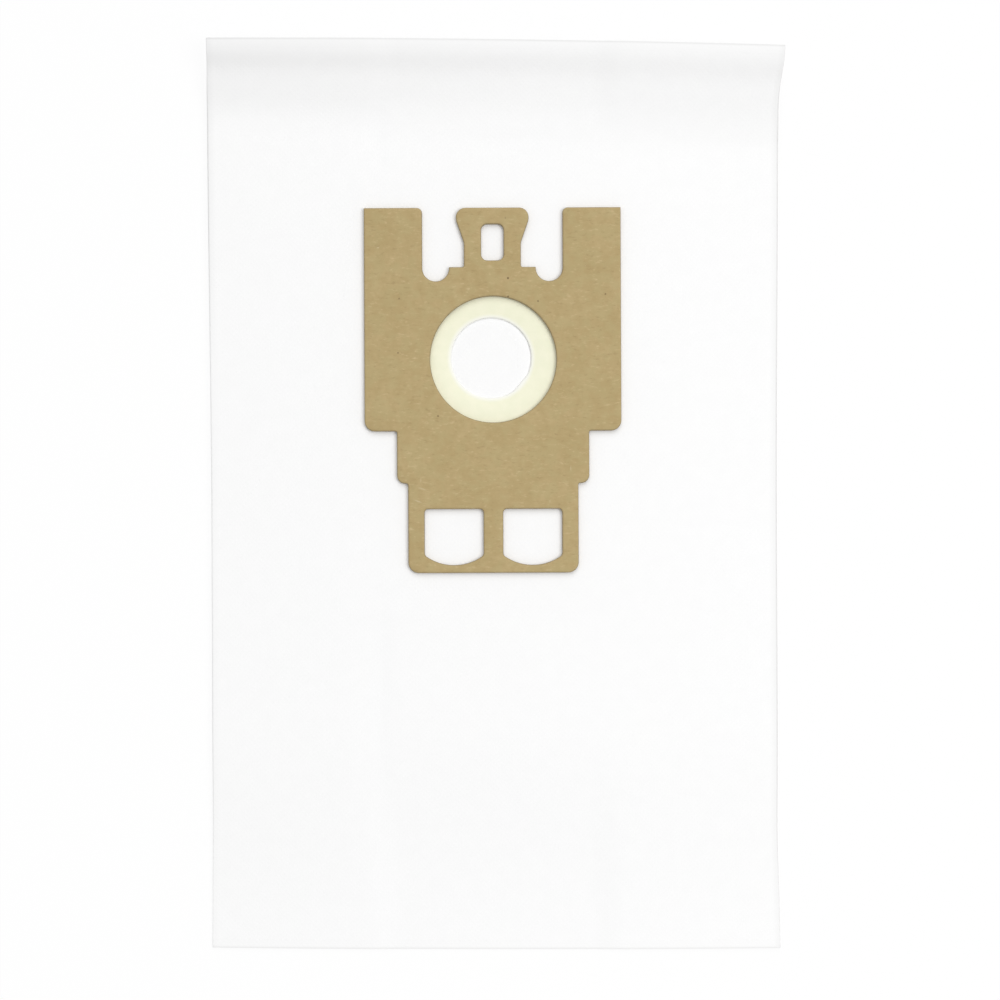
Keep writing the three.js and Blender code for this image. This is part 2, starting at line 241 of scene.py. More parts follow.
hole_cell = 2.0  # size of the grid's cells round the inlet hole
hole_cells = 11  # that the hole takes out of the grid, each way from its middle
warp_cells = 24  # over which the grid turns from round to square
warp = hole_cell * warp_cells
stations = spaced(0, 1, weld_width, 2.6, weld_width + bottom_taper, 3.4,
                  seal_place[1] - warp, hole_cell, seal_place[1] + warp, 3.4,
                  bag_length - curl_length, 1.2, bag_length - weld_width, 1, bag_length)
front_columns = spaced(-fold_line, 2.6, seal_place[0] - warp, hole_cell,
                       seal_place[0] + warp, 2.6, fold_line)[::-1]
back_columns = spaced(-fold_line, 4, -seam_lap / 2 - 4, 0.7, seam_lap / 2 + 4, 4, fold_line)
leaf_shares = np.linspace(0, 1, 10)[1:-1]
fold_angles = np.radians(np.linspace(-90, 90, 9))
crease_angles = np.radians(np.linspace(-90, -270, 7))


def arc(u, w, radius, angles):
    """A run of points round [u, w] in the bag's section: u + r cos a, w + r sin a."""
    return u + radius * np.cos(angles), w + radius * np.sin(angles)


def leaf(start, end, w):
    """A straight run of points in the section at height w, both ends left out."""
    u = between(start, end, leaf_shares)
    return u + 0 * w, w + 0 * u


def bag_skin(inner):
    """The outer or inner skin as (u, v, w) grids of stations by columns, and the count of columns
    before the front. A row runs round the section: back, right gusset, front, left gusset. The
    gussets are pressed together as far as the front has settled on them. The front's grid is warped
    so that the square block of cells about the inlet becomes a circle: direction kept, distance by
    the larger side."""
    v = stations[:, None]
    parted, layer, gap, stack = layers_at(v)
    r = layer + gap / 2
    fold = gap / 2 if inner else r
    turn = r if inner else gap / 2
    bend = crease + (r if inner else layer + gap / 2)
    low = layer + gap if inner else 2 * r
    side = [
        arc(fold_line, r, fold, fold_angles),
        leaf(fold_line, bend, low),
        arc(bend, stack / 2, turn, crease_angles),
        leaf(bend, fold_line, stack - low),
        arc(fold_line, stack - r, fold, fold_angles),
    ]
    right = np.concatenate([np.stack(np.broadcast_arrays(*run)) for run in side], -1)
    left = right[:, :, ::-1] * np.array([-1, 1])[:, None, None]
    for u, w in (right, left):
        w[:] = np.where(w > layer, layer + (w - layer) * pressed_share(u, v), w)

    back_u = back_columns[1:-1]
    lap_inside = lap_share * fleece * parted * smooth(seam_lap / 2 + 3 - np.abs(back_u), 0, 8)
    lap_outside = lap_step * parted * smooth(back_u, *lap_edge) * (1 - smooth(back_u, *lap_fade))
    from_bore = np.hypot(back_u - seal_place[0], v - seal_place[1])
    slack = (back_slack - lap_inside) * (1 - smooth(from_bore, *slack_run))
    back_w = slack + (layer + lap_inside if inner else lap_outside)
    back = np.stack(np.broadcast_arrays(back_u, back_w))

    a = (front_columns[1:-1] - seal_place[0]) / (hole_cell * hole_cells)
    b = (v - seal_place[1]) / (hole_cell * hole_cells)
    m = np.maximum(np.abs(a), np.abs(b))
    reach = fleece_hole + (m - 1) * hole_cell * hole_cells
    squareness = smooth(m, 1, warp_cells / hole_cells)
    far = np.maximum(np.hypot(a, b), 0.01)
    scale = between(reach / far, hole_cell * hole_cells, squareness)
    front_u = seal_place[0] + a * scale
    front_v = seal_place[1] + b * scale
    front_w = front_at(front_u, front_v)
    if inner:
        over_gusset = smooth(np.abs(front_u), crease - crease_run, crease)
        front_layer = layers_at(front_v)[1]
        front_w -= front_layer * between(1, pressed_share(front_u, front_v), over_gusset)

    before = np.concatenate([back, right], -1)
    u = np.concatenate([before[0], front_u, left[0]], -1)
    w = np.concatenate([before[1], front_w, left[1]], -1)
    v_before, v_after = [np.broadcast_to(v, part[0].shape) for part in (before, left)]
    v = np.concatenate([v_before, front_v, v_after], -1)
    return u, v, w, before.shape[-1]


def quads(a, b, c, d):
    """Faces from four equal arrays of corner numbers, one face for each place in them."""
    return np.stack([a, b, c, d], -1).reshape(-1, 4)


def mesh_piece(name, points, faces, material, smooth_angle, uv=None, **shares):
    """A piece from its points in millimetres and its faces. Points that no face uses are dropped,
    edges sharper than smooth_angle stay sharp, and each of the shares becomes a point attribute."""
    sizes = np.concatenate([np.full(len(f), f.shape[1]) for f in faces])
    corners = np.concatenate([f.ravel() for f in faces])
    used, corners = np.unique(corners, return_inverse=True)
    mesh = bpy.data.meshes.new(name)
    mesh.vertices.add(len(used))
    mesh.vertices.foreach_set("co", (points[used] / 1000).astype(np.float32).ravel())
    mesh.loops.add(len(corners))
    mesh.loops.foreach_set("vertex_index", corners.ravel().astype(np.int32))
    mesh.polygons.add(len(sizes))
    starts = np.concatenate([[0], np.cumsum(sizes)[:-1]])
    mesh.polygons.foreach_set("loop_start", starts.astype(np.int32))
    mesh.update(calc_edges=True)
    mesh.validate()
    mesh.polygons.foreach_set("use_smooth", np.ones(len(sizes), bool))
    mesh.set_sharp_from_angle(angle=math.radians(smooth_angle))
    if uv is not None:
        layer = mesh.uv_layers.new(name="cloth")
        layer.uv.foreach_set("vector", uv.astype(np.float32).ravel())
    for share, values in shares.items():
        attribute = mesh.attributes.new(share, "FLOAT", "POINT")
        attribute.data.foreach_set("value", values[used].astype(np.float32))
    mesh.materials.append(material)
    piece = bpy.data.objects.new(name, mesh)
    bpy.context.scene.collection.objects.link(piece)
    return piece


# Painted shade: a thin grey rim along the folds and cut ends, standing in for the shade where the
# edges turn away from the light. It is deepest on the right fold, which the lamp lights, and weaker
# and only higher up on the left fold, which the lamp already shades.
side_shade_run, end_shade_run = (0.1, 1.3), (0.2, 0.9)  # from an edge, over which its painted grey rim of shade fades out
end_shade_share = 0.55  # the share of the right fold's depth of painted shade that the cut ends get
left_shade_share, left_shade_run = 0.5, (240.0, 320.0)  # the left fold's painted shade: this share of the right fold's, and only further up


def bag_mesh():
    """The two skins joined into one closed shell: outer faces turned out and inner faces turned in,
    with rims of one layer across both ends and round the inlet hole. With it come the cloth's own
    coordinates, in metres round and along the tube, and the shares of each point for the finish."""
    skins = [bag_skin(False), bag_skin(True)]
    rows, columns = skins[0][0].shape
    points = np.concatenate([lay(u, v, w).reshape(-1, 3) for u, v, w, _ in skins]) + origin
    outer = np.arange(rows * columns).reshape(rows, columns)
    inner = outer + rows * columns
    i, j = np.meshgrid(np.arange(rows - 1), np.arange(columns), indexing="ij")
    k = (j + 1) % columns

    hole_column = skins[0][3] + int(np.argmin(np.abs(front_columns[1:-1] - seal_place[0])))
    hole_row = int(np.argmin(np.abs(stations - seal_place[1])))
    lows = hole_row - hole_cells, hole_column - hole_cells
    highs = hole_row + hole_cells, hole_column + hole_cells
    whole = ~((i >= lows[0]) & (i < highs[0]) & (j >= lows[1]) & (j < highs[1]))
    i, j, k = i[whole], j[whole], k[whole]

    block = outer[lows[0]:highs[0] + 1, lows[1]:highs[1] + 1]
    rim = np.concatenate([block[0, :-1], block[:-1, -1], block[-1, :0:-1], block[:0:-1, 0]])
    following, below = np.roll(rim, -1), rows * columns
    bottom, bottom_next = outer[0], np.roll(outer[0], -1)
    top, top_next = outer[-1], np.roll(outer[-1], -1)
    faces = np.concatenate([
        quads(outer[i, j], outer[i + 1, j], outer[i + 1, k], outer[i, k]),
        quads(inner[i, j], inner[i, k], inner[i + 1, k], inner[i + 1, j]),
        quads(following, rim, rim + below, following + below),
        quads(bottom, bottom_next, bottom_next + below, bottom + below),
        quads(top, top + below, top_next + below, top_next),
    ])

    level_row = rows // 4  # between the bottom weld's taper and the collar
    level_u, level_w = skins[0][0][level_row], skins[0][2][level_row]
    steps = np.hypot(np.diff(level_u, append=level_u[0]), np.diff(level_w, append=level_w[0]))
    around = np.concatenate([[0], np.cumsum(steps)])
    corner_column = faces % columns
    wrapped = corner_column.max(1, keepdims=True) - corner_column > columns // 2
    uv = np.stack([around[np.where(wrapped, columns, corner_column)],
                   stations[faces // columns % rows]], -1) / 1000

    u, v = [np.concatenate([skin[n].ravel() for skin in skins]) for n in (0, 1)]
    # Each point's share of the painted shade along the folds and the cut ends.
    side_shade = np.where(u > 0, 1.0, left_shade_share * smooth(v, *left_shade_run))
    side_shade = side_shade * (1 - smooth(half_width - np.abs(u), *side_shade_run))
    end_shade = end_shade_share * (1 - smooth(np.minimum(v, bag_length - v), *end_shade_run))
    edge_shade = np.maximum(side_shade, end_shade)
    outside = np.repeat([1.0, 0.0], rows * columns)
    return points, faces, uv, {"rim": edge_shade, "outside": outside}


class Wire:
    """An output of a node. Arithmetic on it adds the Math node, with numbers on either side."""

    def __init__(self, shader, socket):
        self.shader, self.socket = shader, socket

    def __add__(self, other):
        return self.shader.math("ADD", self, other)

    def __sub__(self, other):
        return self.shader.math("SUBTRACT", self, other)

    def __rsub__(self, other):
        return self.shader.math("SUBTRACT", other, self)

    def __mul__(self, other):
        return self.shader.math("MULTIPLY", self, other)

    __radd__ = __add__
    __rmul__ = __mul__

    def most(self, other):
        """The larger of the two."""
        return self.shader.math("MAXIMUM", self, other)

    def ramp(self, low, high, start=0.0, end=1.0):
        """Smooth step from start, where this is low, to end, where it is high."""
        settings = {"interpolation_type": "SMOOTHSTEP"}
        sockets = {"Value": self, "From Min": low, "From Max": high, "To Min": start, "To Max": end}
        return self.shader.node("ShaderNodeMapRange", settings, sockets)

    def out(self, name):
        """Another output of the same node."""
        return Wire(self.shader, self.socket.node.outputs[name])


class Shader:
    """The node tree of a material or world. One method adds any node to it, and the others are short
    forms of it for the nodes that come often."""

    def __init__(self, owner):
        owner.use_nodes = True
        self.tree = owner.node_tree
        self.tree.nodes.clear()

    def node(self, kind, settings, sockets, output=0):
        """Adds a node: its settings first, then the value or link of each socket."""
        node = self.tree.nodes.new(kind)
        for setting, value in settings.items():
            setattr(node, setting, value)
        for key, value in sockets.items():
            if isinstance(value, Wire):
                self.tree.links.new(value.socket, node.inputs[key])
            else:
                node.inputs[key].default_value = value
        return Wire(self, node.outputs[output]) if node.outputs else node

    def math(self, operation, first, second=0.0):
        return self.node("ShaderNodeMath", {"operation": operation}, {0: first, 1: second})

    def vector(self, operation, first, second=(0, 0, 0), output=0):
        settings = {"operation": operation}
        return self.node("ShaderNodeVectorMath", settings, {0: first, 1: second}, output)

    def mix(self, factor, first, second):
        """A mix of two colours."""
        settings = {"data_type": "RGBA"}
        return self.node("ShaderNodeMix", settings, {0: factor, 6: first, 7: second}, 2)

    def mapped(self, where, **sockets):
        """A Mapping node, which turns or stretches the pattern that reads it."""
        return self.node("ShaderNodeMapping", {}, {"Vector": where, **sockets})

    def noise(self, where, scale, detail=2.0, roughness=0.5):
        sockets = {"Vector": where, "Scale": scale, "Detail": detail, "Roughness": roughness}
        return self.node("ShaderNodeTexNoise", {}, sockets)

    def share(self, name):
        """One of the shares that mesh_piece keeps for each point."""
        return self.node("ShaderNodeAttribute", {"attribute_name": name}, {}, "Fac")

    def surface(self, colour, roughness, specular, height, strength, distance):
        """A Principled surface with a bump, joined to the output. Distance is in metres."""
        sockets = {"Strength": strength, "Distance": distance, "Height": height}
        bump = self.node("ShaderNodeBump", {}, sockets)
        body = self.node("ShaderNodeBsdfPrincipled", {}, {
            "Base Color": colour, "Roughness": roughness,
            "Specular IOR Level": specular, "Normal": bump})
        self.node("ShaderNodeOutputMaterial", {}, {"Surface": body})


def srgb(red, green, blue):
    """A colour from its levels from 0 to 255, as the linear values that a socket takes."""
    return (*[((c / 255 + 0.055) / 1.055) ** 2.4 for c in (red, green, blue)], 1.0)


dot_lattice = 620  # bonding dots to the metre
rib_pitch = 1.1  # of the welds' ribs
mark_pitch = 2.5  # of the bonding marks down the lapped seam
mark_half = (1.2, 1.7)  # from the seam's middle, over which a mark ends


def fleece_finish():
    """White spunbonded fleece: clouded by uneven fibres, with a lattice of small bonding dots
    pressed into it, fine ribs along the welds, and a row of bonding marks down the lapped seam on
    the outside. A grey rim is painted along the folds and cut ends as painted shade, where the
    edges turn away from the light."""
    material = bpy.data.materials.new("white_fleece")
    cloth = Shader(material)
    spot = cloth.node("ShaderNodeUVMap", {"uv_map": "cloth"}, {})
    around = cloth.node("ShaderNodeSeparateXYZ", {}, {0: spot})
    along = around.out("Y")
    clouds = cloth.noise(spot, 160.0, 3.0)
    fibres = cloth.noise(cloth.mapped(spot, Scale=(2600, 900, 1)), 1.0, 3.0)
    lattice = cloth.mapped(spot, Rotation=(0, 0, math.pi / 4))
    dots = cloth.node("ShaderNodeTexVoronoi", {"voronoi_dimensions": "2D"},
                      {"Vector": lattice, "Scale": dot_lattice, "Randomness": 0.0})
    pressed = dots.ramp(0.18, 0.32, 1.0, 0.0)
    from_end = cloth.math("MINIMUM", along, bag_length / 1000 - along)
    weld = from_end.ramp((weld_width - 0.4) / 1000, (weld_width + 0.4) / 1000, 1.0, 0.0)
    ribs = cloth.math("SINE", from_end * (2 * math.pi / rib_pitch * 1000))
    off_seam = cloth.math("ABSOLUTE", around + back_columns[1] / 1000)
    marks = cloth.math("SINE", along * (2 * math.pi / mark_pitch * 1000)).ramp(0.0, 0.6)
    seam = off_seam.ramp(*[width / 1000 for width in mark_half], 1.0, 0.0) * marks
    seam = seam * cloth.share("outside")
    colour = cloth.mix(clouds.ramp(0.3, 0.7), srgb(251, 251, 251), srgb(252, 252, 252))
    colour = cloth.mix(pressed * 0.15, colour, srgb(248, 248, 248))
    colour = cloth.mix(weld * 0.5, colour, srgb(250, 250, 250))
    colour = cloth.mix(seam * 0.6, colour, srgb(236, 236, 235))
    # Painted shade: the grey rim along the folds and the cut ends.
    colour = cloth.mix(cloth.share("rim"), colour, srgb(224, 224, 223))
    height = fibres * 0.5 + clouds * 0.3 - pressed * 0.35 + weld * ribs * 0.15 - seam
    cloth.surface(colour, 0.92, 0.1, height, 0.35, 0.00012)
    return material


bag_points, bag_faces, bag_uv, bag_shares = bag_mesh()
dust_bag = mesh_piece(
    "fleece_bag", bag_points, [bag_faces], fleece_finish(), 50, bag_uv, **bag_shares)
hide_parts("dust_bag")
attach(dust_bag, "root")


# ---- The inlet seal
# A disc of soft cream rubber, glued into the front under the collar. It thins to a lip round its
# bore, which the hose spigot stretches; the lip is pulled straight for a short way at one side.
seal_top = front_height
seal_thickness = 1.0
bore_radius = 17.0
lip_thickness = 0.35
lip_run = 7.0
straight_at = math.radians(-40)
straight_half = math.radians(16)
lip_rings, flat_rings, under_rings = 12, 7, 9
spokes = 256


def seal_mesh():
    """A profile of radius and height turned about the bore's axis: the lip's edge and its rise, the
    flat upper face, the outer wall and the underside. Towards the bore its radius is scaled by the
    outline of the lip: a circle with one chord cut straight."""
    top = between(bore_radius + 0.15, bore_radius + lip_run, np.linspace(0, 1, lip_rings))
    share = (top - bore_radius) / lip_run
    lip = seal_top - seal_thickness + between(lip_thickness, seal_thickness, smooth(share, -0.4, 1))
    bottom = seal_top - seal_thickness
    radius = np.concatenate([
        [bore_radius + 0.2, bore_radius + 0.05, bore_radius, bore_radius + 0.05], top,
        np.linspace(bore_radius + lip_run + 1, seal_radius - 0.3, flat_rings),
        [seal_radius - 0.1, seal_radius, seal_radius, seal_radius - 0.1],
        np.linspace(seal_radius - 1, bore_radius + 0.6, under_rings)])
    height = np.concatenate([
        [bottom, bottom + 0.06, bottom + 0.18, bottom + 0.29], lip,
        np.full(flat_rings, seal_top),
        [seal_top - 0.05, seal_top - 0.25, bottom + 0.2, bottom + 0.04],
        np.full(under_rings, bottom)])
    angle = np.linspace(0, 2 * np.pi, spokes, endpoint=False)[:, None]
    off = np.abs(np.angle(np.exp(1j * (angle - straight_at))))
    chord = np.where(off < straight_half, np.cos(straight_half) / np.cos(np.minimum(off, 1)), 1)
    near_bore = 1 - smooth(radius, bore_radius, bore_radius + 3)
    r = radius * between(1, chord, near_bore)
    x = seal_place[0] + r * np.cos(angle)
    y = seal_place[1] + r * np.sin(angle)
    z = height + 0 * angle
    points = np.stack([x, y, z], -1).reshape(-1, 3) + origin
    number = np.arange(x.size).reshape(x.shape)
    on, up = np.roll(number, -1, 0), np.roll(number, -1, 1)
    return points, quads(number, up, np.roll(on, -1, 1), on)


def rubber_finish():
    """Cream rubber, paler where the thin lip lets the white behind it through."""
    material = bpy.data.materials.new("cream_rubber")
    rubber = Shader(material)
    where = rubber.node("ShaderNodeTexCoord", {}, {}, "Object")
    centre = ((seal_low.x + seal_high.x) / 2, (seal_low.y + seal_high.y) / 2, 0)
    flat = rubber.vector("MULTIPLY", rubber.vector("SUBTRACT", where, centre), (1, 1, 0))
    radius = rubber.vector("LENGTH", flat, output="Value")
    thick = radius.ramp((bore_radius - 0.3) / 1000, (bore_radius + 2.2) / 1000)
    mottle = rubber.noise(where, 240.0, 3.0)
    cream = rubber.mix(mottle.ramp(0.35, 0.65), srgb(245, 244, 219), srgb(242, 242, 216))
    colour = rubber.mix(thick, srgb(250, 250, 244), cream)
    rubber.surface(colour, 0.6, 0.3, rubber.noise(where, 2200.0, 2.0), 0.2, 0.00006)
    return material


seal_points, seal_faces = seal_mesh()
inlet_seal = mesh_piece("rubber_seal", seal_points, [seal_faces], rubber_finish(), 60)
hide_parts("inlet_seal")
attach(inlet_seal, "root")


# ---- The collar plate
# Brown recycled board, 2 mm thick, die-cut and glued onto the front over the seal. The die has
# rolled its upper edges over, and the board's fibres, specks and scuffs show on its face.
collar_thickness = 2.0
collar_high = front_height + glue_gap + collar_thickness
collar_half = 109 / 2
prong_width = 24.7
notch_width = 11.4
notch_radius = notch_width / 2 - 0.001  # a hair under half, so that its floor keeps a length
tip = collar_top - inlet_height  # heights are from the round hole's middle
notch_floor = tip - 31.2
shelf = tip - 25.2
body_bottom = tip - 94.8
neck_bottom = body_bottom - 22.2
foot_bottom = neck_bottom - 38
neck_half, foot_half = 81.6 / 2, 72.3 / 2
tab_half = 30.9 / 2
tab_root = 24.2 / 2
tab_shoulder = tip - 5.2
tab_taper = tab_shoulder - 9.6
collar_hole = 26.8
hole_shift = (0.2, 0.3)  # of the hole as it was punched
slot_half, slot_top, slot_length = 9.5 / 2, tip - 7.0, 15.4
window_width, window_bar, window_side, window_bulge = 25.0, 8.4, 19.6, 4.2
window_top = neck_bottom - 10.9
collar_place = np.array([collar_side, inlet_height])
edge_profile = np.array([  # inset and depth, from the rolled upper edge to the lower one
    (1.05, 0), (0.7, 0.03), (0.42, 0.12), (0.2, 0.29), (0.06, 0.54), (0, 0.85),
    (0, 1.35), (0, 1.85), (0.06, 1.95), (0.2, collar_thickness)])
outline_step = 2.5  # the most that two points of an outline lie apart
face_grid, grid_margin = 2.7, 1.3  # of the points that fill the faces, and clear of the outlines


def arc_points(centre, radius, start, end, step=0.6):
    """Points on a circle's arc, about step apart and both ends included."""
    count = max(3, math.ceil(abs(end - start) * radius / step))
    a = np.linspace(start, end, count + 1)
    return np.stack([centre[0] + radius * np.cos(a), centre[1] + radius * np.sin(a)], -1)


def rounded(corners):
    """An outline through corners of x, y and radius. At each, an arc touches both edges: its centre
    lies on the corner's bisector, the radius over the sine of half the angle away. Straight
    stretches are divided evenly, by outline_step at most."""
    place = np.array([c[:2] for c in corners], float)
    befores, afters = np.roll(place, 1, 0), np.roll(place, -1, 0)
    runs = []
    for here, before, after, (*_, radius) in zip(place, befores, afters, corners):
        back = (before - here) / np.linalg.norm(before - here)
        ahead = (after - here) / np.linalg.norm(after - here)
        if radius == 0:
            runs.append(here[None])
            continue
        half = math.acos(np.clip(back @ ahead, -1, 1)) / 2
        centre = here + (back + ahead) / np.linalg.norm(back + ahead) * radius / math.sin(half)
        start = np.arctan2(*(here + back * radius / math.tan(half) - centre)[::-1])
        turn = math.copysign(math.pi - 2 * half, -(back[0] * ahead[1] - back[1] * ahead[0]))
        runs.append(arc_points(centre, radius, start, start + turn))
    corner_points = np.concatenate(runs)
    gaps = np.linalg.norm(np.roll(corner_points, -1, 0) - corner_points, axis=1)
    length = np.concatenate([[0], np.cumsum(gaps)])
    at = np.concatenate([np.linspace(a, b, math.ceil((b - a) / outline_step) + 1)[:-1]
                         for a, b in zip(length, length[1:])])
    closed = np.concatenate([corner_points, corner_points[:1]])
    return np.stack([np.interp(at, length, closed[:, 0]), np.interp(at, length, closed[:, 1])], -1)


def collar_outlines():
    """The plate's outer edge, anticlockwise, and its four openings, clockwise. The edge is given by
    its right half, from the foot up to the pull tab, and mirrored."""
    outer, inner = collar_half - prong_width, collar_half - prong_width - notch_width
    right = [
        (foot_half, foot_bottom, 4.5), (foot_half, neck_bottom, 0.8), (neck_half, neck_bottom, 3.4),
        (neck_half, body_bottom, 0.8), (collar_half, body_bottom, 4.4), (collar_half, tip, 0),
        (outer, tip, 2.2), (outer, notch_floor, notch_radius), (inner, notch_floor, notch_radius),
        (inner, shelf, 0), (tab_root, shelf, 0.8), (tab_root, tab_taper, 6),
        (tab_half, tab_shoulder, 6), (tab_half, tip, 4),
    ]
    edge = rounded(right + [(-x, y, r) for x, y, r in right[::-1]])
    slot = rounded([(x, y, 2.6) for x, y in (
        (slot_half, slot_top - slot_length), (-slot_half, slot_top - slot_length),
        (-slot_half, slot_top), (slot_half, slot_top))])
    half = window_width / 2
    bulge_radius = (half**2 + window_bulge**2) / (2 * window_bulge)
    reach = math.asin(half / bulge_radius)
    windows = []
    for side in (-1, 1):
        middle = side * (window_bar + window_width) / 2
        low = window_top - window_side
        bulge = arc_points((middle, low - window_bulge + bulge_radius), bulge_radius,
                           -math.pi / 2 + reach, -math.pi / 2 - reach, 1.6)[1:-1]
        windows.append(rounded([
            (middle + half, window_top, 1.5), (middle + half, low, 1.8), *[(*p, 0) for p in bulge],
            (middle - half, low, 1.8), (middle - half, window_top, 1.5)]))
    hole = arc_points(hole_shift, collar_hole, 2 * math.pi, 0)[:-1]
    return [edge, slot, *windows, hole]


def warped_board(x, y):
    """How far the board's face lies off its plane: long shallow waves from damp and pressing."""
    return 0.05 * np.sin(x / 14 + 1) * np.sin(y / 19) + 0.03 * np.sin(x / 7.5 - y / 11)


def inside(spots, line, after):
    """Whether each spot lies within the outlines that run from line to after: a ray to its right
    crosses them an odd number of times."""
    level = spots[:, 1:]
    crossing = (line[:, 1] > level) != (after[:, 1] > level)
    rise = np.where(line[:, 1] == after[:, 1], 1, after[:, 1] - line[:, 1])
    meets = line[:, 0] + (level - line[:, 1]) / rise * (after[:, 0] - line[:, 0])
    return (crossing & (spots[:, :1] < meets)).sum(1) % 2 == 1


def collar_mesh():
    """Each outline carried down a profile of inset and depth, which gives the plate's rolled upper
    edge, wall and lower edge; then both faces, filled from the innermost lines with triangles
    over a grid of points. With it comes each point's share of the cut board's colour."""
    inset, depth = edge_profile.T[:, :, None]
    points, faces, tops, lows, cut = [], [], [], [], []
    start = 0
    for line in collar_outlines():
        edge = np.roll(line, -1, 0) - line
        normal = np.stack([edge[:, 1], -edge[:, 0]], -1) / np.linalg.norm(edge, axis=1)[:, None]
        earlier = np.roll(normal, 1, 0)
        miter = (normal + earlier) / (1 + (normal * earlier).sum(1))[:, None]
        x, y = (line - miter * inset[:, None]).transpose(2, 0, 1)
        points.append(np.stack([x, y, collar_high - depth + 0 * x], -1).reshape(-1, 3))
        number = start + np.arange(x.size).reshape(x.shape)
        on = np.roll(number, -1, 1)
        faces.append(quads(number[:-1], number[1:], on[1:], on[:-1]))
        cut.append((smooth(depth, 0.05, 0.5) + 0 * x).ravel())
        tops.append(number[0])
        lows.append(number[-1])
        start += x.size
    rims = np.concatenate(points)
    grid = np.stack(np.meshgrid(
        np.arange(-collar_half, collar_half, face_grid),
        np.arange(foot_bottom, tip, face_grid), indexing="ij"), -1).reshape(-1, 2)
    sheets = []
    for loops, flip in ((tops, False), (lows, True)):
        ring = np.concatenate(loops)
        flat = rims[ring, :2]
        after = np.concatenate([np.roll(rims[loop, :2], -1, 0) for loop in loops])
        away = np.hypot(grid[:, :1] - flat[:, 0], grid[:, 1:] - flat[:, 1]).min(1)
        spots = grid[inside(grid, flat, after) & (away > grid_margin)]
        starts = np.cumsum([0] + [len(loop) for loop in loops])
        edges = [(a + n, a + (n + 1) % (b - a))
                 for a, b in zip(starts, starts[1:]) for n in range(b - a)]
        given = np.concatenate([flat, spots])
        triangles = np.array(delaunay_2d_cdt([Vector(p) for p in given], edges, [], 1, 1e-5)[2])
        triangles = triangles[inside(given[triangles].mean(1), flat, after)]
        height = rims[ring[0], 2]
        spots = np.concatenate([spots, np.full((len(spots), 1), height)], -1)
        number = np.concatenate([ring, start + np.arange(len(spots))])
        start += len(spots)
        sheets.append((spots, number[triangles[:, ::-1] if flip else triangles]))
    points = np.concatenate([rims, *[spots for spots, _ in sheets]])
    points[:, 2] += warped_board(points[:, 0], points[:, 1])
    cut = np.concatenate([*cut, np.zeros(len(points) - len(rims))])
    points[:, :2] += collar_place
    return points + origin, np.concatenate(faces), np.concatenate([t for _, t in sheets]), cut


# Dark specks: x and y from the round hole's middle, radius, and how dark.
specks_seen = (
    (6.6, 34.7, 0.5, 0.8), (6.6, 26.9, 0.45, 0.8), (19.3, 24.9, 0.4, 0.7), (47.9, 27.8, 0.4, 0.6),
    (-23.3, -23.7, 0.45, 0.6), (-39.6, 26.2, 0.4, 0.5), (-40.2, 3.2, 0.5, 0.4),
    (5.6, 60.2, 0.35, 0.4))
# Pale scuffs: x and y, turn in radians, length and width.
scuffs_seen = (
    (-30.7, -50.7, 1.5, 3.2, 1.0), (-30.3, -54.5, -0.3, 5.2, 1.1), (-32.0, -59.8, -0.35, 5.0, 0.9),
    (32.9, -46.0, 1.6, 3.4, 0.7), (24.0, -60.0, 1.5, 1.9, 0.7), (-48.5, 47.8, 0.1, 1.6, 0.9))


